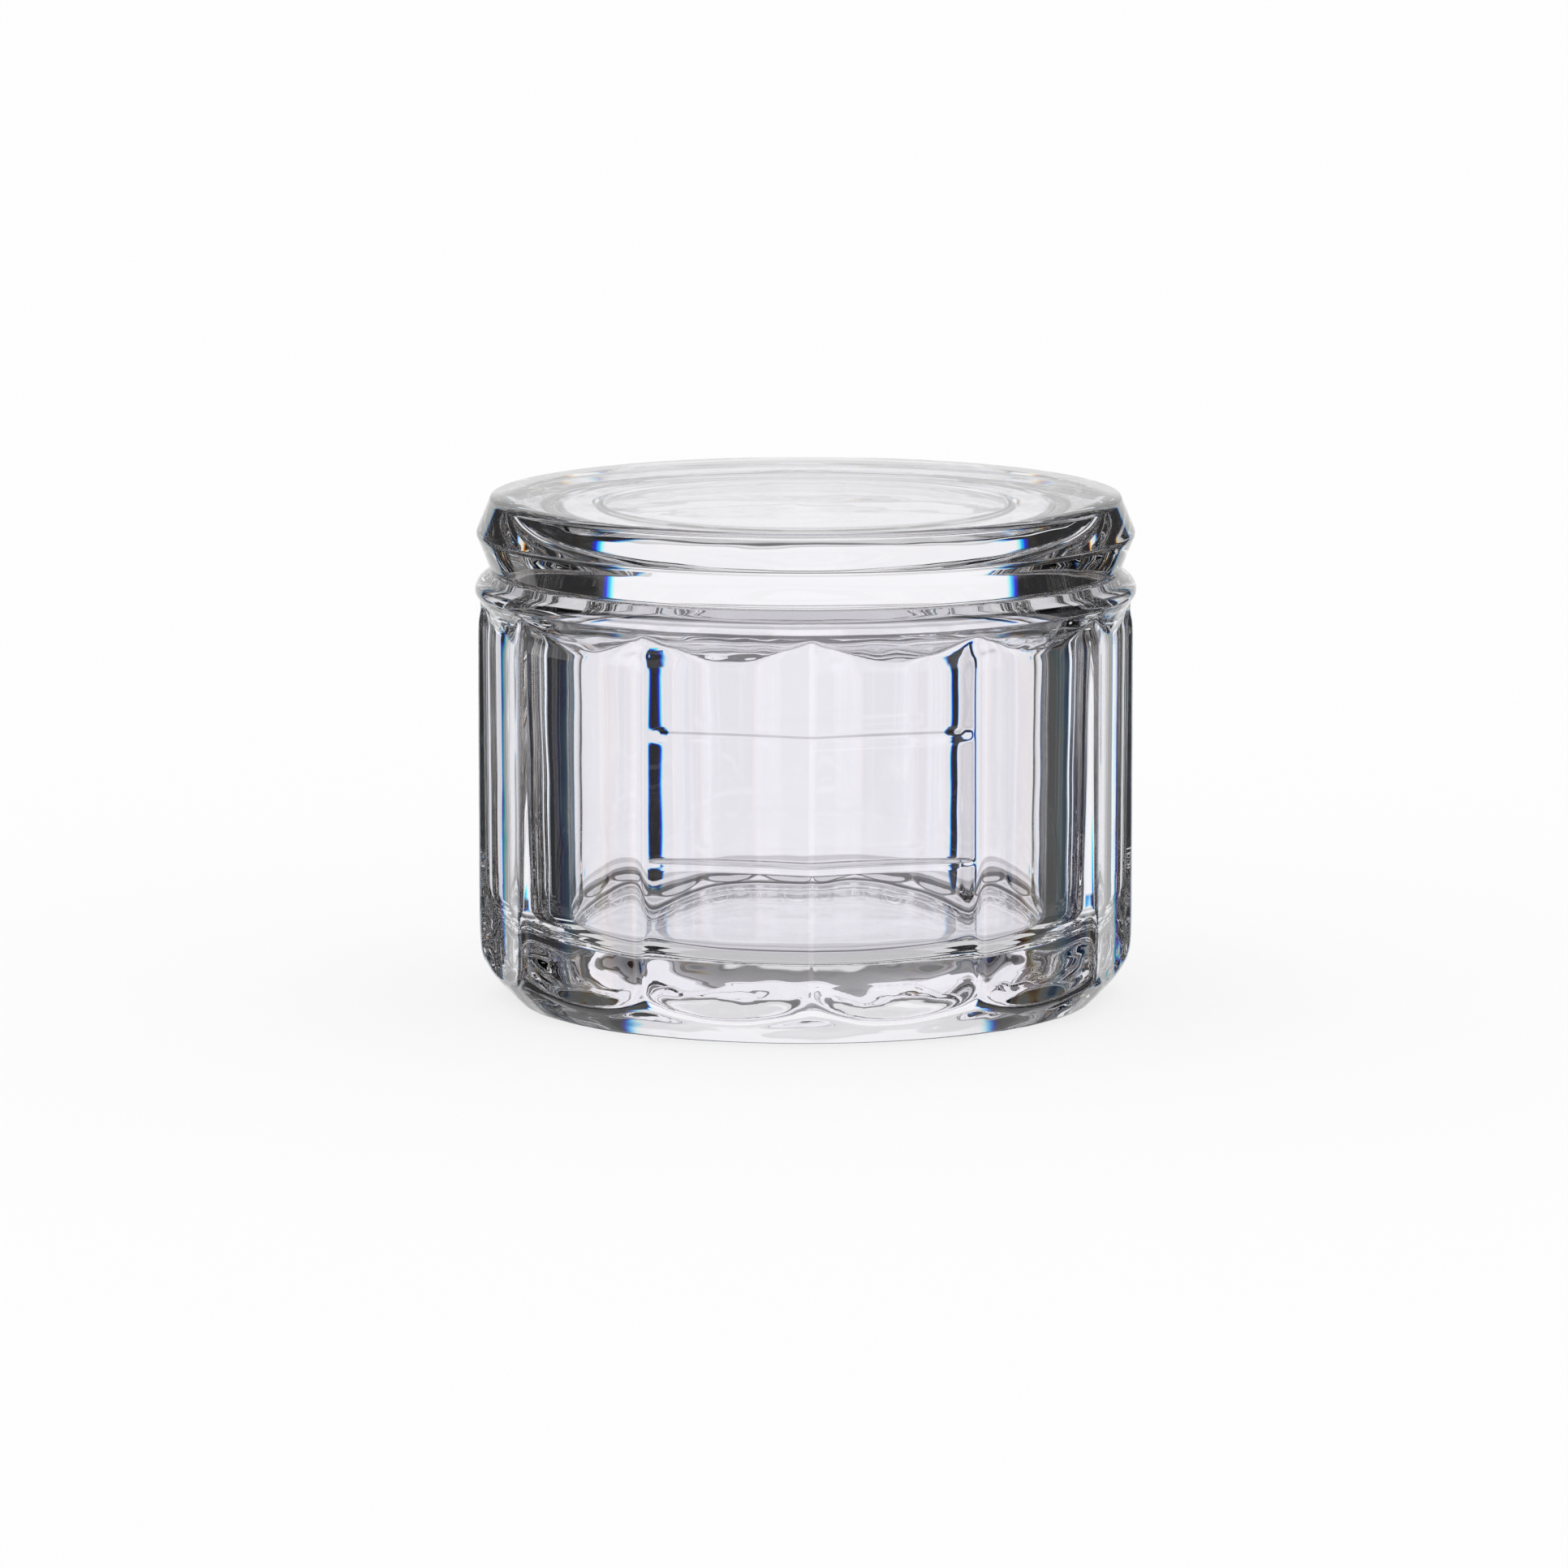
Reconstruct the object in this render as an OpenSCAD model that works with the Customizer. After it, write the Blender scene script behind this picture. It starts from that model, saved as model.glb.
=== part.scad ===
// Salt cellar of thick pressed glass: a faceted round jar with a loose glass lid that plugs its mouth.
// The origin is at the middle of the foot, on the table, with +Z up. The front is towards -Y.

/* [Jar outside] */
// Height of the jar, from the table to the flat top of its mouth
jar_h = 66; // [58:0.5:90]
// Diameter where the shoulder meets the faceted wall, the widest place of the jar
shoulder_d = 100; // [96:0.5:110]
// Distance that the mouth's flat top lies in from the widest place, which the lid's lower edge matches
neck_in = 2.5; // [2:0.1:3.2]
// Height from the shoulder's widest place to the top of the mouth
shoulder_h = 4.4; // [3.6:0.1:6]
// Radius that rounds the shoulder over into its widest place
shoulder_round_r = 3; // [1.5:0.1:3.4]

/* [Facets] */
// Number of equal facets round the wall
facet_count = 12; // [12:1:18]
// Depth of a facet's middle below the shoulder's widest place
facet_depth = 2.4; // [2.3:0.1:3.4]
// Radius to which each facet is hollowed across its width
facet_hollow_r = 150; // [145:5:400]
// Slope of the facets' run-out below the shoulder, in degrees from the level
run_out_angle = 61; // [50:1:70]

/* [Foot and base] */
// Height at which the wall starts to round in to the foot
foot_turn_z = 8.5; // [7:0.1:12]
// Radius of that turn
foot_turn_r = 6; // [4:0.1:8]
// Distance from the ridges out to where the turn would stand upright
foot_turn_out = 0.14; // [0.1:0.02:0.4]
// Slope of the foot's flank below the turn, in degrees from the level
foot_angle = 45; // [40:1:55]
// Thickness of the glass from the table to the floor of the well
base_t = 10.8; // [8:0.1:14]
// Distance from the jar's widest place in to the rim of the shallow hollow under the foot
foot_hollow_in = 13; // [10:0.5:20]
// Depth of the hollow under the foot
foot_hollow_depth = 1; // [0.6:0.1:1.5]
// Width of the sloping edge of that hollow
foot_hollow_edge = 1.5; // [1:0.1:3]

/* [Well] */
// Thickness of the glass at the mouth, from the jar's widest place in
wall_t = 10.6; // [9:0.1:13]
// Draft of the well's wall, in degrees, which lets the pressing tool leave
well_draft = 1; // [0.5:0.1:2]
// Radius between the well's wall and its floor
well_floor_r = 5; // [3:0.1:8]
// Radius of the mouth's inner edge
mouth_edge_r = 1; // [0.5:0.1:1.5]

/* [Rails on the front facets] */
// Height of the upper rail on the two front facets
upper_rail_z = 46; // [42:0.5:50]
// Height of the lower rail on the two front facets
lower_rail_z = 27; // [22:0.5:32]
// Radius of a rail's round section
rail_r = 0.7; // [0.5:0.05:1]
// Height by which a rail stands out of its facet
rail_proud = 0.35; // [0.2:0.05:0.5]
// Gap between a rail's end and the ridge beside it
rail_end_gap = 1.2; // [0.8:0.1:3]

/* [Lid] */
// Height of the lid above the jar's mouth
lid_h = 10; // [8:0.1:13]
// Distance that the lid's flat top lies in from the jar's widest place
lid_top_in = 2.5; // [1.5:0.1:4]
// Distance that the lid's edge, its widest place, lies in from the jar's widest place
lid_edge_in = 0.3; // [0:0.1:1]
// Height of the lid's edge above the jar's mouth
lid_edge_z = 4.8; // [4:0.1:6]
// Radius of the lid's edge
lid_edge_r = 0.9; // [0.5:0.1:1.2]
// Height of the plug that reaches into the mouth
plug_h = 4; // [3:0.1:5]
// Gap between the plug and the mouth, all round
plug_gap = 0.7; // [0.4:0.05:1]
// Width and height of the plug's lower chamfer
plug_chamfer = 1; // [0.5:0.1:1.5]
// Thickness of the plug's ring, round the hollow under the lid
plug_wall = 7.5; // [5:0.1:12]
// Thickness of the glass above that hollow
lid_t = 5.6; // [4:0.1:7]
// Radius between the hollow's wall and its ceiling
lid_hollow_r = 1.5; // [0.8:0.1:2.5]

/* [Hidden] */
$fn = 96;
// Length by which every cutter and blank runs past what it meets
over = jar_h / 10;
shoulder_r = shoulder_d / 2;
neck_r = shoulder_r - neck_in;
mouth_r = shoulder_r - wall_t;
shoulder_z = jar_h - shoulder_h;
// The hollow of each facet is part of a cylinder, whose axis lies this far from the middle of the jar
facet_r = shoulder_r - facet_depth;
facet_axis_r = facet_r + facet_hollow_r;
facet_step = 360 / facet_count;
half_chord = facet_axis_r * sin(facet_step / 2);
ridge_r = facet_axis_r * cos(facet_step / 2) - sqrt(pow(facet_hollow_r, 2) - pow(half_chord, 2));

// Direction, from a circle's centre, of the point where a line from a place beside the circle touches it
function touch_angle(dx, dz, r) = atan2(dz, dx) - acos(r / norm([dx, dz]));

module at_each_facet() {
    for (i = [0 : facet_count - 1])
        rotate([0, 0, -90 + (i + 0.5) * facet_step])
            children();
}

// The outline of the wall from above: hollow facets that meet in ridges
module facet_outline() {
    difference() {
        circle(r = shoulder_r + over);
        at_each_facet()
            translate([facet_axis_r, 0])
                circle(r = facet_hollow_r, $fn = 4 * $fn);
    }
}

// The round blank that the facets are cut from, with its foot turned in
module foot_blank() {
    blank_r = min(ridge_r + foot_turn_out, shoulder_r);
    turn_centre_r = blank_r - foot_turn_r;
    turn_end_r = turn_centre_r + foot_turn_r * cos(foot_angle);
    turn_end_z = foot_turn_z - foot_turn_r * sin(foot_angle);
    foot_r = turn_end_r - turn_end_z / tan(foot_angle);
    rotate_extrude()
        union() {
            intersection() {
                translate([turn_centre_r, foot_turn_z])
                    circle(r = foot_turn_r);
                translate([turn_centre_r, turn_end_z])
                    square([foot_turn_r, foot_turn_z - turn_end_z]);
            }
            polygon([
                [0, 0],
                [foot_r, 0],
                [turn_end_r, turn_end_z],
                [turn_centre_r, turn_end_z],
                [turn_centre_r, foot_turn_z],
                [blank_r, foot_turn_z],
                [blank_r, shoulder_z],
                [0, shoulder_z]
            ]);
        }
}

module faceted_wall() {
    intersection() {
        linear_extrude(height = shoulder_z)
            facet_outline();
        foot_blank();
    }
}

// The round shoulder, with the cone under it on which every facet runs out
module shoulder() {
    round_centre_r = shoulder_r - shoulder_round_r;
    touch = touch_angle(neck_r - round_centre_r, shoulder_h, shoulder_round_r);
    run_out_root_r = facet_r - facet_depth;
    run_out_z = shoulder_z - (shoulder_r - run_out_root_r) * tan(run_out_angle);
    rotate_extrude()
        union() {
            intersection() {
                translate([round_centre_r, shoulder_z])
                    circle(r = shoulder_round_r);
                translate([round_centre_r, shoulder_z])
                    square(shoulder_round_r);
            }
            polygon([
                [0, run_out_z],
                [run_out_root_r, run_out_z],
                [shoulder_r, shoulder_z],
                [round_centre_r + shoulder_round_r * cos(touch), shoulder_z + shoulder_round_r * sin(touch)],
                [neck_r, jar_h],
                [0, jar_h]
            ]);
        }
}

// A thin raised bar that lies along one facet's hollow, with round ends
module rail(z) {
    half_angle = asin((facet_r * tan(facet_step / 2) - rail_end_gap) / facet_hollow_r);
    swing_r = facet_hollow_r + rail_r - rail_proud;
    translate([facet_axis_r, 0, z])
        rotate([0, 0, 180 - half_angle]) {
            rotate_extrude(angle = 2 * half_angle)
                translate([swing_r, 0])
                    circle(r = rail_r);
            for (turn = [0, 2 * half_angle])
                rotate([0, 0, turn])
                    translate([swing_r, 0, 0])
                        sphere(r = rail_r);
        }
}

// The space inside the jar, which is also the shape of the tool that pressed it
module well() {
    floor_centre_z = base_t + well_floor_r;
    floor_centre_r = mouth_r - (jar_h - floor_centre_z) * tan(well_draft) - well_floor_r / cos(well_draft);
    touch_r = floor_centre_r + well_floor_r * cos(well_draft);
    touch_z = floor_centre_z - well_floor_r * sin(well_draft);
    rotate_extrude()
        union() {
            intersection() {
                translate([floor_centre_r, floor_centre_z])
                    circle(r = well_floor_r);
                translate([floor_centre_r, base_t])
                    square([well_floor_r, touch_z - base_t]);
            }
            polygon([
                [0, base_t],
                [floor_centre_r, base_t],
                [floor_centre_r, touch_z],
                [touch_r, touch_z],
                [mouth_r, jar_h],
                [mouth_r, jar_h + over],
                [0, jar_h + over]
            ]);
            difference() {
                translate([mouth_r - mouth_edge_r, jar_h - mouth_edge_r])
                    square([2 * mouth_edge_r, mouth_edge_r + over]);
                translate([mouth_r + mouth_edge_r, jar_h - mouth_edge_r])
                    circle(r = mouth_edge_r);
            }
        }
}

module foot_hollow() {
    spread = foot_hollow_edge / foot_hollow_depth;
    mouth_of_hollow_r = shoulder_r - foot_hollow_in;
    translate([0, 0, -over])
        cylinder(
            r1 = mouth_of_hollow_r + over * spread,
            r2 = mouth_of_hollow_r - foot_hollow_edge,
            h = over + foot_hollow_depth
        );
}

module jar() {
    color("lavender", 0.5)
        difference() {
            union() {
                faceted_wall();
                shoulder();
                for (side = [-0.5, 0.5])
                    rotate([0, 0, -90 + side * facet_step]) {
                        rail(upper_rail_z);
                        rail(lower_rail_z);
                    }
            }
            well();
            foot_hollow();
        }
}

// Half of the lid's section, with its lower edge at the height of the jar's mouth
module lid_section() {
    edge_centre_r = shoulder_r - lid_edge_in - lid_edge_r;
    lid_top_r = shoulder_r - lid_top_in;
    plug_r = mouth_r - plug_gap;
    touch_up = touch_angle(lid_top_r - edge_centre_r, lid_h - lid_edge_z, lid_edge_r);
    touch_down = touch_angle(neck_r - edge_centre_r, lid_edge_z, lid_edge_r);
    translate([edge_centre_r, lid_edge_z])
        circle(r = lid_edge_r);
    polygon([
        [0, -plug_h],
        [plug_r - plug_chamfer, -plug_h],
        [plug_r, plug_chamfer - plug_h],
        [plug_r, 0],
        [neck_r, 0],
        [edge_centre_r + lid_edge_r * cos(touch_down), lid_edge_z - lid_edge_r * sin(touch_down)],
        [edge_centre_r, lid_edge_z],
        [edge_centre_r + lid_edge_r * cos(touch_up), lid_edge_z + lid_edge_r * sin(touch_up)],
        [lid_top_r, lid_h],
        [0, lid_h]
    ]);
}

// The hollow under the lid, inside the plug's ring, which is open downwards
module lid_hollow() {
    hollow_r = mouth_r - plug_gap - plug_wall;
    ceiling_z = lid_h - lid_t;
    rotate_extrude()
        union() {
            intersection() {
                translate([hollow_r - lid_hollow_r, ceiling_z - lid_hollow_r])
                    circle(r = lid_hollow_r);
                translate([hollow_r - lid_hollow_r, ceiling_z - lid_hollow_r])
                    square(lid_hollow_r);
            }
            polygon([
                [0, -plug_h - over],
                [hollow_r, -plug_h - over],
                [hollow_r, ceiling_z - lid_hollow_r],
                [hollow_r - lid_hollow_r, ceiling_z - lid_hollow_r],
                [hollow_r - lid_hollow_r, ceiling_z],
                [0, ceiling_z]
            ]);
        }
}

module lid() {
    color("lavender", 0.6)
        translate([0, 0, jar_h])
            difference() {
                rotate_extrude()
                    lid_section();
                lid_hollow();
            }
}

jar();
lid();
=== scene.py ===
import math

import bmesh
import bpy
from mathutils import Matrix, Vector


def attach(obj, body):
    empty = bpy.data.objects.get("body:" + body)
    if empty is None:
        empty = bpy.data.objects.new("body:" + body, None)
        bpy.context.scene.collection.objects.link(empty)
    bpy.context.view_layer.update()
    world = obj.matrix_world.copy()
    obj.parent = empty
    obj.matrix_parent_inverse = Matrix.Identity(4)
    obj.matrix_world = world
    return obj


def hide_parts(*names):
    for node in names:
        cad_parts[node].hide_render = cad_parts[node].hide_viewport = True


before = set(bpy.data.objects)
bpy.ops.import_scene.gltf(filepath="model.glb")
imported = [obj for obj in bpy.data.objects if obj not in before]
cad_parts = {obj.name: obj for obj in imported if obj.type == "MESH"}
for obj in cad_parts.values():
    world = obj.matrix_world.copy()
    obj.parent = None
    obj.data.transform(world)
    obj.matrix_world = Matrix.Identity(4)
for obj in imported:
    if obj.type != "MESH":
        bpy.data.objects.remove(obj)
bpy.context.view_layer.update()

# The jar
# One pressing of thick clear glass: a round shoulder, hollow-ground facets that run out on a cone under it, a foot that
# turns in, a smooth well, and two thin rails across the two front facets. It stands on its foot ring.

MM = 0.001
DEG = math.pi / 180

jar_h = 65.0
widest_r = 50.0
neck_r = widest_r - 2.5
mouth_r = widest_r - 10.6
shoulder_z = jar_h - 3.4
shoulder_round_r = 3.0
facets = 12
facet_depth = 2.4
facet_hollow_r = 150.0
ridge_softness = 0.8
run_out_angle = 63.5 * DEG
run_out_softness = 0.3
collar_softness = 0.2
wall_under_shoulder = 0.12
foot_turn_z = 8.5
foot_turn_r = 6.0
foot_turn_out = 0.14
foot_angle = 45 * DEG
foot_softness = 1.2
base_t = 10.8
foot_hollow_r = widest_r - 13
foot_hollow_depth = 1.0
foot_hollow_edge = 1.5
well_draft = 1 * DEG
well_floor_r = 5.0
mouth_edge_r = 1.0
upper_rail_z, upper_rail_w, upper_rail_proud = 46.0, 0.75, 0.27
lower_rail_z, lower_rail_w, lower_rail_proud = 27.0, 0.42, 0.33
rail_end_gap = 1.2
columns = 360
ridge_crowding = 0.3
weld_gap, mend_gap, shortest_edge = 0.004, 0.001, 0.0001
wave_scale, ripple_scale = 0.11, 0.3
foot_wave_z, foot_wave_w, foot_wave = 5.0, 4.0, 0.45
run_out_wave_z, run_out_wave_w, run_out_wave = 59.5, 2.0, 0.4
foot_ripple_z, foot_ripple_w, foot_ripple = 5.0, 3.0, 0.15
run_out_ripple_z, run_out_ripple_w, run_out_ripple = 59.0, 2.2, 0.45
wall_wave, well_floor_wave = 0.07, 0.05
outside_from_r, outside_ease = 44.0, 2.0
well_floor_to_r, well_floor_ease = 35.0, 5.0
calm_axis_r, calm_rim, calm_ends = 20.0, 1.0, 3.0


class Socket:
    """An output socket that takes part in Python sums, each of which adds a Math node to its tree."""

    def __init__(self, tree, socket):
        self.tree = tree
        self.socket = socket

    def node(self, kind, settings=None, inputs=None, output=0):
        """Adds any node: its settings by name, its inputs by name or number, and gives one of its outputs back."""
        made = self.tree.nodes.new(kind)
        for name, value in (settings or {}).items():
            setattr(made, name, value)
        for key, value in (inputs or {}).items():
            if isinstance(value, Socket):
                self.tree.links.new(value.socket, made.inputs[key])
            else:
                made.inputs[key].default_value = value
        return Socket(self.tree, made.outputs[output])

    def other(self, output):
        """Another output of the same node."""
        return Socket(self.tree, self.socket.node.outputs[output])

    def end_in(self, kind):
        """Links this socket to a new output node of its tree."""
        self.tree.links.new(self.socket, self.tree.nodes.new(kind).inputs[0])

    def maths(self, operation, *values):
        return self.node("ShaderNodeMath", {"operation": operation}, dict(enumerate(values)))

    def __add__(self, other):
        return self.maths("ADD", self, other)

    __radd__ = __add__

    def __sub__(self, other):
        return self.maths("SUBTRACT", self, other)

    def __rsub__(self, other):
        return self.maths("SUBTRACT", other, self)

    def __mul__(self, other):
        return self.maths("MULTIPLY", self, other)

    __rmul__ = __mul__

    def __truediv__(self, other):
        return self.maths("DIVIDE", self, other)

    def __abs__(self):
        return self.maths("ABSOLUTE", self)

    def sin(self):
        return self.maths("SINE", self)

    def cos(self):
        return self.maths("COSINE", self)

    def tan(self):
        return self.maths("TANGENT", self)

    def root(self):
        return self.maths("SQRT", self)

    def clamp(self, low=0.0, high=1.0):
        held = self.maths("MAXIMUM", self, low)
        return held.maths("MINIMUM", held, high)

    def smooth(self):
        """An even ease from 0 to 1 while the value goes from 0 to 1."""
        held = self.clamp()
        return held * held * (3 - 2 * held)

    def bell(self, middle, width):
        off = (self - middle) / width
        return self.maths("EXPONENT", -1 * (off * off))

    def lesser(self, other, width):
        return self.maths("SMOOTH_MIN", self, other, width)

    def greater(self, other, width):
        return self.maths("SMOOTH_MAX", self, other, width)

    def under(self, limit, then, otherwise):
        """then where the value lies under the limit, otherwise elsewhere."""
        is_under = self.maths("LESS_THAN", self, limit)
        return (then - otherwise) * is_under + otherwise


def touch_angle(dx, dz, r):
    """Direction, from a circle's centre, of the point where a line from a place beside the circle touches it."""
    return math.atan2(dz, dx) - math.acos(r / math.hypot(dx, dz))


def line(start, end):
    """A straight part of a profile, from one (radius, height) to another."""
    return lambda turn, along: (start[0] + (end[0] - start[0]) * along, start[1] + (end[1] - start[1]) * along)


def arc(centre, r, from_angle, to_angle):
    """A round part of a profile, about a centre (radius, height)."""
    def place(turn, along):
        angle = from_angle + (to_angle - from_angle) * along
        return centre[0] + r * angle.cos(), centre[1] + r * angle.sin()
    return place


def group(name, inputs, build):
    """A node group whose outputs are what build makes of its number inputs, or of its bare tree if it has none."""
    tree = bpy.data.node_groups.new(name, "GeometryNodeTree")
    for key in inputs:
        tree.interface.new_socket(key, in_out="INPUT", socket_type="NodeSocketFloat")
    entry = tree.nodes.new("NodeGroupInput")
    results = build(*([Socket(tree, entry.outputs[key]) for key in inputs] or [Socket(tree, None)]))
    leave = tree.nodes.new("NodeGroupOutput")
    for number, result in enumerate(results):
        kind = "NodeSocketVector" if result.socket.type == "VECTOR" else "NodeSocketFloat"
        tree.interface.new_socket("Result %d" % number, in_out="OUTPUT", socket_type=kind)
        tree.links.new(result.socket, leave.inputs[number])
    return tree


def round_the_axis(start):
    """Where a grid's point lies: its angle round the axis, with columns closer at the ridges, and its place along."""
    spot = start.node("GeometryNodeInputPosition")
    across = start.node("ShaderNodeSeparateXYZ", None, {0: spot})
    facet = (across + 0.5) * facets
    number = facet.maths("FLOOR", facet)
    swing = (facet - number) * 2 - 1
    swing = swing * (1 + ridge_crowding) - ridge_crowding * swing * swing * swing
    turn = (number + (swing + 1) / 2) * (2 * math.pi / facets) - math.pi
    return turn, across.other(1) + 0.5


def skin(wave):
    """Puts a point at its angle, radius and height, and moves it inwards and upwards with the melt's waviness."""
    def place(turn, r, z):
        spot = turn.node("ShaderNodeCombineXYZ", None, {0: turn.sin() * r, 1: turn.cos() * r, 2: z})
        melt, ripple = (
            turn.node("ShaderNodeTexNoise", None, {"Vector": spot, "Scale": scale, "Detail": 1.0, "Roughness": 0.4})
            for scale in (wave_scale, ripple_scale))
        inwards, upwards, ripples = wave(r, z)
        r = r - inwards * melt - ripples * ripple
        z = z + upwards * melt
        place_in_metres = {0: turn.sin() * r * MM, 1: turn.cos() * r * -MM, 2: z * MM}
        return (turn.node("ShaderNodeCombineXYZ", None, place_in_metres),)
    return place


def stretch(start, rows, place, polar, skin_group):
    """Part of a piece's skin: a grid whose columns go round the axis and whose rows follow place."""
    grid = start.node("GeometryNodeMeshGrid", None, {"Vertices X": columns + 1, "Vertices Y": rows + 1})
    turn = start.node("GeometryNodeGroup", {"node_tree": polar})
    r, z = place(turn, turn.other(1))
    spot = start.node("GeometryNodeGroup", {"node_tree": skin_group}, {0: turn, 1: r, 2: z})
    return start.node("GeometryNodeSetPosition", None, {"Geometry": grid, "Position": spot})


def grow(name, inputs, build, material):
    """Builds a piece with a node tree of its own, whose named inputs are set on the modifier, as a plain mesh."""
    tree = bpy.data.node_groups.new(name, "GeometryNodeTree")
    tree.interface.new_socket("Geometry", in_out="OUTPUT", socket_type="NodeSocketGeometry")
    sockets = [tree.interface.new_socket(key, in_out="INPUT", socket_type="NodeSocketFloat") for key in inputs]
    entry = tree.nodes.new("NodeGroupInput")
    given = {key: Socket(tree, entry.outputs[key]) for key in inputs}
    start = Socket(tree, None)
    joined = tree.nodes.new("GeometryNodeJoinGeometry")
    for part in build(start, **{key.lower().replace(" ", "_"): value for key, value in given.items()}):
        tree.links.new(part.socket, joined.inputs[0])
    all_parts = Socket(tree, joined.outputs[0])
    welded = start.node("GeometryNodeMergeByDistance", None, {"Geometry": all_parts, "Distance": weld_gap * MM})
    real = start.node("GeometryNodeRealizeInstances", None, {0: welded})
    start.node("GeometryNodeSetMaterial", None, {"Geometry": real, "Material": material}).end_in("NodeGroupOutput")
    piece = bpy.data.objects.new(name, bpy.data.meshes.new(name))
    bpy.context.scene.collection.objects.link(piece)
    modifier = piece.modifiers.new("grow", "NODES")
    modifier.node_group = tree
    for socket, value in zip(sockets, inputs.values(), strict=True):
        modifier[socket.identifier] = float(value)
    grown = piece.evaluated_get(bpy.context.evaluated_depsgraph_get())
    mesh = bpy.data.meshes.new_from_object(grown)
    piece.modifiers.remove(modifier)
    piece.data = mesh
    work = bmesh.new()
    work.from_mesh(mesh)
    bmesh.ops.remove_doubles(work, verts=work.verts, dist=mend_gap * MM)
    bmesh.ops.dissolve_degenerate(work, edges=work.edges, dist=shortest_edge * MM)
    bmesh.ops.recalc_face_normals(work, faces=work.faces)
    work.to_mesh(mesh)
    work.free()
    mesh.shade_smooth()
    return piece


def glass(name, tint, edge_shade_and_melt_tint):
    """Clear glass with a faint tint, a painted shade that darkens its colour where the skin turns away from the ray,
    and a melt that isn't quite even.
    """
    material = bpy.data.materials.new(name)
    material.use_nodes = True
    tree = material.node_tree
    start = Socket(tree, None)
    shader = tree.nodes["Principled BSDF"]
    edge_shade_strength, uneven = 0.8, 0.3
    where = start.node("ShaderNodeTexCoord", None, None, "Object")
    melt = start.node("ShaderNodeTexNoise", None, {"Vector": where, "Scale": 60.0, "Detail": 3.0})
    # Painted shade: the colour goes darker grey where the skin turns away from the ray, for dark edges in every view;
    # the melt's noise adds an uneven tint on top.
    facing = start.node("ShaderNodeLayerWeight", None, {"Blend": 0.35}, "Facing")
    share = (facing * facing * edge_shade_strength + (melt - 0.5) * uneven).clamp()
    colour = start.node("ShaderNodeMix", {"data_type": "RGBA"}, {0: share, 6: tint, 7: edge_shade_and_melt_tint}, 2)
    tree.links.new(colour.socket, shader.inputs["Base Color"])
    shader.inputs["Roughness"].default_value = 0.0
    shader.inputs["IOR"].default_value = 1.52
    shader.inputs["Transmission Weight"].default_value = 1.0
    return material


def jar_wave(r, z):
    """How far the slow waves move the jar's skin inwards and upwards, and the ripples inwards, in millimetres."""
    ends = (z / calm_ends).smooth() * ((jar_h - calm_rim - z) / calm_ends).smooth()
    outside = ((r - outside_from_r) / outside_ease).smooth()
    foot = z.bell(foot_wave_z, foot_wave_w) * foot_wave
    run_out = z.bell(run_out_wave_z, run_out_wave_w) * outside * run_out_wave
    inwards = (foot + run_out + wall_wave) * ends * (r / calm_axis_r).smooth()
    upwards = ((well_floor_to_r - r) / well_floor_ease).smooth() * well_floor_wave
    run_out_ripples = z.bell(run_out_ripple_z, run_out_ripple_w) * run_out_ripple
    foot_ripples = z.bell(foot_ripple_z, foot_ripple_w) * foot_ripple
    return inwards, upwards, (run_out_ripples + foot_ripples) * outside * ends


jar_inputs = {"Widest radius": widest_r, "Facet depth": facet_depth, "Facet hollow radius": facet_hollow_r,
              "Ridge softness": ridge_softness, "Run out slope": run_out_angle}


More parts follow.
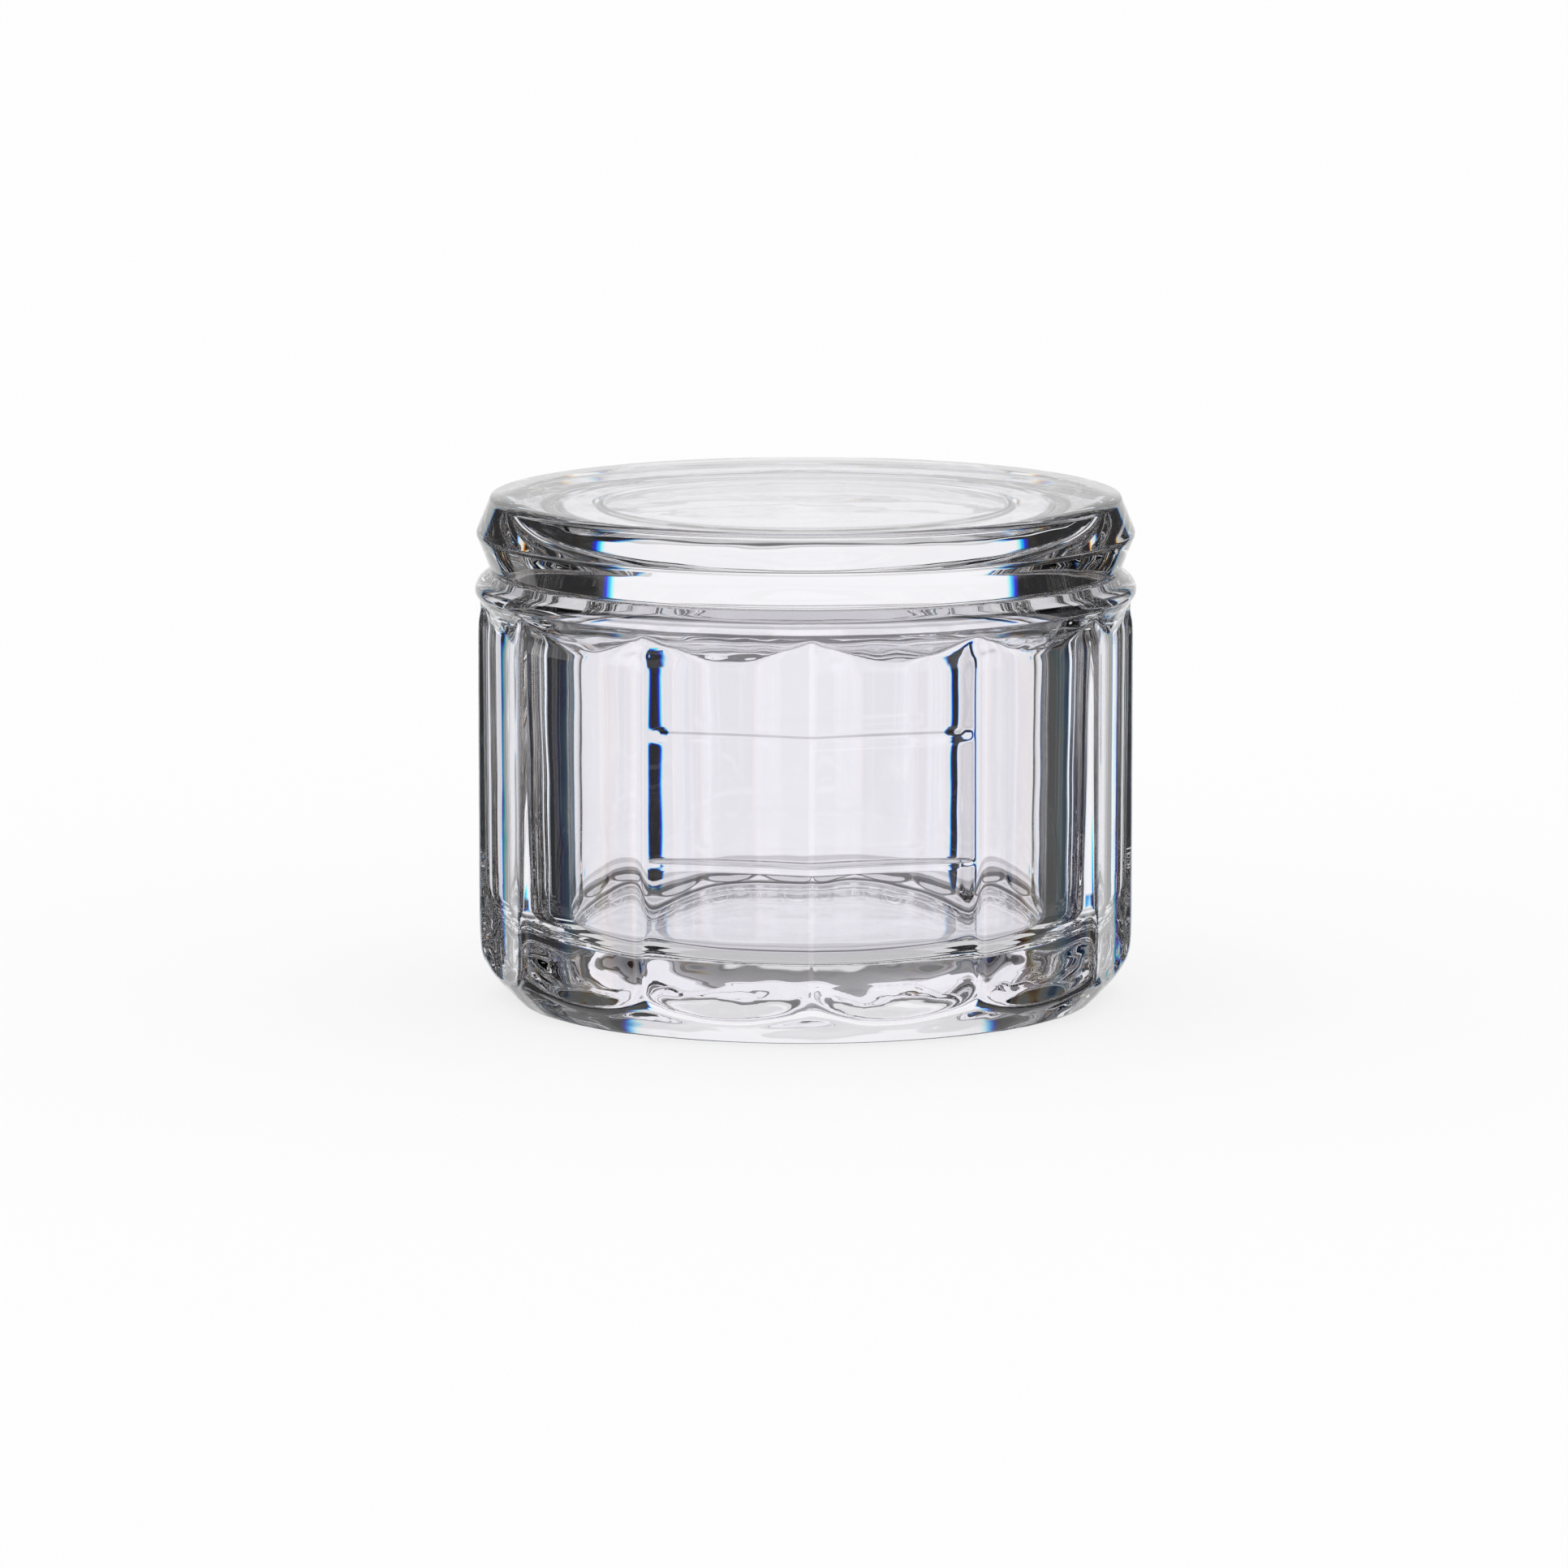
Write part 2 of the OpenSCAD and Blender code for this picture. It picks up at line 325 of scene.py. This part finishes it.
def build_jar(start, widest_radius, facet_depth, facet_hollow_radius, ridge_softness, run_out_slope):
    """The jar's skin in parts: up its outside, over the mouth, down the well, then the underside from its middle."""
    step = 2 * math.pi / facets
    turn_end_z = foot_turn_z - foot_turn_r * math.sin(foot_angle)
    round_centre_r = widest_r - shoulder_round_r
    touch = touch_angle(neck_r - round_centre_r, jar_h - shoulder_z, shoulder_round_r)
    touch_r = round_centre_r + shoulder_round_r * math.cos(touch)
    touch_z = shoulder_z + shoulder_round_r * math.sin(touch)

    def outline(turn, z, widest_radius, facet_depth, facet_hollow_radius, ridge_softness, run_out_slope):
        """Radius of the outside: hollow facets between the foot that turns in and the round shoulder, with rails."""
        axis_r = widest_radius - facet_depth + facet_hollow_radius
        half_chord = axis_r * math.sin(step / 2)
        hollow_squared = facet_hollow_radius * facet_hollow_radius
        ridge_r = axis_r * math.cos(step / 2) - (hollow_squared - half_chord * half_chord).root()
        turn_centre_r = ridge_r + foot_turn_out - foot_turn_r
        turn_end_r = turn_centre_r + foot_turn_r * math.cos(foot_angle)
        from_ridge = turn.maths("PINGPONG", turn, step / 2)
        softness = ridge_softness / ridge_r
        soft = (from_ridge * from_ridge + softness * softness).root()
        swing = step / 2 - soft
        chord = axis_r * swing.sin()
        facet = axis_r * swing.cos() - (hollow_squared - chord * chord).root()
        drop = (foot_turn_z - z).clamp(0.0, foot_turn_r)
        turned_in = turn_centre_r + (foot_turn_r**2 - drop * drop).root()
        flank = turn_end_r - (turn_end_z - z) / math.tan(foot_angle)
        foot = z.under(turn_end_z, flank, turned_in)
        rise = (z - shoulder_z).clamp(0.0, shoulder_round_r)
        rounded = round_centre_r + (shoulder_round_r**2 - rise * rise).root()
        slope = (touch_r - neck_r) / (jar_h - touch_z)
        shoulder = z.under(touch_z, rounded, touch_r - (z - touch_z) * slope)
        run_out = widest_radius - (shoulder_z - z) / run_out_slope.tan()
        collar = run_out.lesser(shoulder, collar_softness)
        wall = facet.lesser(foot, foot_softness).lesser(shoulder - wall_under_shoulder, 0.0)
        upper = rail(turn, z, ridge_r, upper_rail_z, upper_rail_w, upper_rail_proud)
        lower = rail(turn, z, ridge_r, lower_rail_z, lower_rail_w, lower_rail_proud)
        return (wall.greater(collar, run_out_softness) + upper + lower,)

    def rail(turn, z, ridge_r, height, half_width, proud):
        beside = ((step - abs(turn)) * ridge_r - rail_end_gap) / (2 * half_width)
        return proud * z.bell(height, half_width) * beside.smooth()

    names = ("Turn", "Height", *jar_inputs)
    outline_group = group("jar_outline", names, outline)
    sizes = (widest_radius, facet_depth, facet_hollow_radius, ridge_softness, run_out_slope)

    def outside(turn, z):
        return start.node("GeometryNodeGroup", {"node_tree": outline_group}, dict(enumerate((turn, z, *sizes))))

    def wall(low, high):
        def place(turn, along):
            z = low + (high - low) * along
            return outside(turn, z), z
        return place

    def ring(inner_r, height):
        """The flat between a round edge and the outside of the jar."""
        def place(turn, along):
            z = along * 0 + height
            return inner_r + (outside(turn, z) - inner_r) * along, z
        return place

    floor_centre_z = base_t + well_floor_r
    well_draws_in = (jar_h - floor_centre_z) * math.tan(well_draft)
    floor_centre = (mouth_r - well_draws_in - well_floor_r / math.cos(well_draft), floor_centre_z)
    wall_foot = (floor_centre[0] + well_floor_r * math.cos(well_draft),
                 floor_centre_z - well_floor_r * math.sin(well_draft))
    hollow_top_r = foot_hollow_r - foot_hollow_edge
    lip = (mouth_r + mouth_edge_r, jar_h - mouth_edge_r)
    foot_top = foot_turn_z + 1
    lower_start, lower_end = lower_rail_z - 1.5, lower_rail_z + 1.5
    upper_start, upper_end = upper_rail_z - 2.5, upper_rail_z + 2.5
    run_out_start, round_start = shoulder_z - 7.6, shoulder_z + 0.8
    parts = [
        (32, wall(0, foot_top)),
        (8, wall(foot_top, lower_start)),
        (24, wall(lower_start, lower_end)),
        (8, wall(lower_end, upper_start)),
        (22, wall(upper_start, upper_end)),
        (6, wall(upper_end, run_out_start)),
        (50, wall(run_out_start, round_start)),
        (12, wall(round_start, jar_h)),
        (4, ring(lip[0], jar_h)),
        (6, arc(lip, mouth_edge_r, math.pi / 2, math.pi)),
        (24, line((mouth_r, lip[1]), wall_foot)),
        (16, arc(floor_centre, well_floor_r, -well_draft, -math.pi / 2)),
        (26, line((floor_centre[0], base_t), (0, base_t))),
        (26, line((0, foot_hollow_depth), (hollow_top_r, foot_hollow_depth))),
        (4, line((hollow_top_r, foot_hollow_depth), (foot_hollow_r, 0))),
        (4, ring(foot_hollow_r, 0)),
    ]
    polar = group("round_the_axis", (), round_the_axis)
    skin_group = group("jar_skin", ("Turn", "Radius", "Height"), skin(jar_wave))
    return [stretch(start, rows, place, polar, skin_group) for rows, place in parts]


# The second colour is the painted shade at the glass's turned-away edges, which the melt's noise also shifts towards.
jar_glass = glass("jar_glass", (0.965, 0.955, 0.99, 1), (0.66, 0.66, 0.69, 1))
jar = grow("jar_body", jar_inputs, build_jar, jar_glass)
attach(jar, "jar")
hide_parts("jar")

# The lid
# A heavy disc of the same glass: a flat top, an edge that flares out to a soft rim and turns in again, and a plug under
# it, hollow inside, that reaches into the mouth. It rests on the jar by its weight.

lid_h = 11.0
lid_top_r = widest_r - 2.5
lid_edge_r = 1.2
lid_edge = (widest_r - 0.3 - lid_edge_r, jar_h + 5.6)
plug_h = 3.0
plug_r = mouth_r - 0.7
plug_chamfer = 1.0
lid_hollow_r = plug_r - 7.5
lid_hollow_z = jar_h + 1.8
lid_hollow_round_r = 1.0
plug_lip_r = 0.6
lid_rest_z = jar_h + 0.03
lid_edge_wave_z, lid_edge_wave_w, lid_edge_wave = 70.0, 3.0, 0.12
lid_disc_to_r, lid_disc_ease, lid_disc_wave = 30.0, 3.0, 0.03
lid_calm_top, lid_calm_ends, lid_disc_calm_top = 0.5, 2.0, 1.0


def lid_wave(r, z):
    """The same for the lid, whose top stays flat and which has no ripples."""
    top = jar_h + lid_h
    ends = ((z - jar_h + plug_h) / lid_calm_ends).smooth() * ((top - lid_calm_top - z) / lid_calm_ends).smooth()
    inwards = (z.bell(lid_edge_wave_z, lid_edge_wave_w) * lid_edge_wave) * ends * (r / calm_axis_r).smooth()
    upwards = (top - lid_disc_calm_top - z).clamp() * ((lid_disc_to_r - r) / lid_disc_ease).smooth() * lid_disc_wave
    return inwards, upwards, inwards * 0


def build_lid(start):
    """The lid's skin in parts: from the middle of the hollow down round the plug, then out, up and over the top."""
    top = jar_h + lid_h
    up = touch_angle(lid_top_r - lid_edge[0], top - lid_edge[1], lid_edge_r)
    down = touch_angle(neck_r - lid_edge[0], lid_edge[1] - lid_rest_z, lid_edge_r)
    under_edge = (lid_edge[0] + lid_edge_r * math.cos(down), lid_edge[1] - lid_edge_r * math.sin(down))
    over_edge = (lid_edge[0] + lid_edge_r * math.cos(up), lid_edge[1] + lid_edge_r * math.sin(up))
    foot_z = jar_h - plug_h
    in_r = lid_hollow_r - lid_hollow_round_r
    in_z = lid_hollow_z - lid_hollow_round_r
    parts = [
        (20, line((0, lid_hollow_z), (in_r, lid_hollow_z))),
        (8, arc((in_r, in_z), lid_hollow_round_r, math.pi / 2, 0)),
        (10, line((lid_hollow_r, in_z), (lid_hollow_r, foot_z + plug_lip_r))),
        (6, arc((lid_hollow_r + plug_lip_r, foot_z + plug_lip_r), plug_lip_r, math.pi, 1.5 * math.pi)),
        (4, line((lid_hollow_r + plug_lip_r, foot_z), (plug_r - plug_chamfer, foot_z))),
        (4, line((plug_r - plug_chamfer, foot_z), (plug_r, foot_z + plug_chamfer))),
        (4, line((plug_r, foot_z + plug_chamfer), (plug_r, lid_rest_z))),
        (6, line((plug_r, lid_rest_z), (neck_r, lid_rest_z))),
        (8, line((neck_r, lid_rest_z), under_edge)),
        (8, arc(lid_edge, lid_edge_r, -down, up)),
        (8, line(over_edge, (lid_top_r, top))),
        (12, line((lid_top_r, top), (0, top))),
    ]
    polar = bpy.data.node_groups["round_the_axis"]
    skin_group = group("lid_skin", ("Turn", "Radius", "Height"), skin(lid_wave))
    return [stretch(start, rows, place, polar, skin_group) for rows, place in parts]


# The second colour is the painted shade at the glass's turned-away edges, which the melt's noise also shifts towards.
lid_glass = glass("lid_glass", (0.955, 0.945, 0.98, 1), (0.66, 0.66, 0.69, 1))
lid = grow("lid_body", {}, build_lid, lid_glass)
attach(lid, "lid")
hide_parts("lid")

# The camera
# It stands 1.5 m off and a little above the jar, as the photograph's rings show. Its small shift puts the jar where it
# stands in the photograph.

camera_distance = 1500.0
camera_rise = 8.69 * DEG
camera_turn = -1.0 * DEG
focal_px, image_px = 12218.0, 1932.0
target = Vector((0, 0, 37.5))
target_px = Vector((992.7, 921.6))
level_back = Vector((math.sin(camera_turn), -math.cos(camera_turn), 0))
back = level_back * math.cos(camera_rise) + Vector((0, 0, math.sin(camera_rise)))
right = Vector((math.cos(camera_turn), math.sin(camera_turn), 0))
up = right.cross(-back)
off = (target_px - Vector((image_px / 2, image_px / 2))) / focal_px
aim = -back - right * off.x + up * off.y
camera = bpy.data.objects.new("camera", bpy.data.cameras.new("camera"))
bpy.context.scene.collection.objects.link(camera)
camera.location = (target + back * camera_distance) * MM
camera.rotation_euler = aim.to_track_quat("-Z", "Y").to_euler()
camera.data.sensor_width = 36
camera.data.lens = camera.data.sensor_width * focal_px / image_px
bpy.context.scene.camera = camera

# The table
# A plain white table that keeps a quarter of the jar's soft shadow. The glass looks through it to the studio's light,
# as on a lit table.

table_half = 3000 * MM
shadow_share = 0.25
table_corners = [(-table_half, -table_half, 0), (table_half, -table_half, 0),
                 (table_half, table_half, 0), (-table_half, table_half, 0)]
floor_mesh = bpy.data.meshes.new("floor")
floor_mesh.from_pydata(table_corners, [], [(0, 1, 2, 3)])
floor = bpy.data.objects.new("floor", floor_mesh)
bpy.context.scene.collection.objects.link(floor)
white = bpy.data.materials.new("floor_white")
white.use_nodes = True
white.node_tree.nodes.clear()
start = Socket(white.node_tree, None)
glow = start.node("ShaderNodeEmission", None, {"Color": (1, 1, 1, 1)})
matt = start.node("ShaderNodeBsdfDiffuse", None, {"Color": (0.95, 0.95, 0.95, 1)})
seen = start.node("ShaderNodeLightPath", None, None, "Is Camera Ray")
table_skin = start.node("ShaderNodeMixShader", None, {0: seen * (1 - shadow_share), 1: matt, 2: glow})
table_skin.end_in("ShaderNodeOutputMaterial")
floor_mesh.materials.append(white)
floor.visible_transmission = False
floor.visible_glossy = False

# The studio
# A white room round the table, with dark flags at both sides, as for glass on white. Each flag has an opening at the
# height and side that another view of the jar looks out at, and only rays from the glass see the flags.

flag_from, flag_to, flag_height = 26.0, 166.0, 38.0
flag_depth = 0.97
colour_fringes = (0.7, 0.0, -0.8)

world = bpy.data.worlds.new("studio")
bpy.context.scene.world = world
world.use_nodes = True
world.node_tree.nodes.clear()
start = Socket(world.node_tree, None)
way = start.node("ShaderNodeTexCoord", None, None, "Generated")
x, y, z = (start.node("ShaderNodeSeparateXYZ", None, {0: way}, i) for i in range(3))
side = abs(x.maths("ARCTAN2", x, y)) / DEG
level = z.maths("ARCSINE", z) / DEG


def band(value, low, high, soft):
    """1 between two values in degrees and 0 outside them, with edges as soft as given."""
    return ((value - low) / soft + 0.5).clamp() * ((high - value) / soft + 0.5).clamp()


# The white of the room isn't even: from one level to another, in degrees of rise, and how much darker it is there.
room = ((-91, -50, 0.42), (-50, -38, 0.28), (-38, -31, 0.85), (-31, -27.4, 0.6), (-27.4, -22.6, 0.1),
        (-22.6, -17.6, 0.3), (5, 10, 0.05), (10, 20, 0.2), (20, 48, 0.8))
even = 1 - sum(band(level, low, high, 1.0) * shade for low, high, shade in room)
left = x.maths("LESS_THAN", x, 0.0)


# The openings in the flags: two levels, two turns from straight ahead, and whether the left or right flag has it. They
# serve the view from the side, from the front and high up, and from behind.
openings = ((-5.8, 5.8, 63.0, 117.0, left), (-27.4, -22.6, 24.0, 72.0, left), (-17.6, -12.4, 108.0, 166.0, 1 - left))


def flags(shift):
    """Where the dark flags hang, turned a little for each colour, as the glass spreads colours at an edge."""
    turned = side + shift
    strips = 1 - band(turned, 86.0, 92.0, 2.0) - band(turned, 120.0, 128.0, 2.0)
    dark = band(level, -flag_height, flag_height, 1.5) * band(turned, flag_from, flag_to, 2.0) * strips
    opened = sum(band(level, low, high, 0.6) * band(turned, near, far, 2.0) * which
                 for low, high, near, far, which in openings)
    trimmed = band(level, -11.5, -5.8, 0.6) * band(turned, 20.0, 28.2, 1.0)
    return dark * (1 - opened) * (1 - trimmed)


path = start.node("ShaderNodeLightPath")
in_glass = path.other("Is Glossy Ray").greater(path.other("Is Transmission Ray"), 0.0)
channels = [even * (1 - flag_depth * flags(shift)) for shift in colour_fringes]
tone = start.node("ShaderNodeCombineColor", None, dict(enumerate(channels)))
plain = start.node("ShaderNodeBackground", None, {"Color": (1, 1, 1, 1)})
flagged = start.node("ShaderNodeBackground", None, {"Color": tone})
start.node("ShaderNodeMixShader", None, {0: in_glass, 1: plain, 2: flagged}).end_in("ShaderNodeOutputWorld")

glass_bounces = 12
scene = bpy.context.scene
scene.view_settings.view_transform = "Standard"
scene.cycles.max_bounces = glass_bounces
scene.cycles.transmission_bounces = glass_bounces
scene.cycles.glossy_bounces = glass_bounces
scene.cycles.transparent_max_bounces = 16
scene.cycles.diffuse_bounces = 1
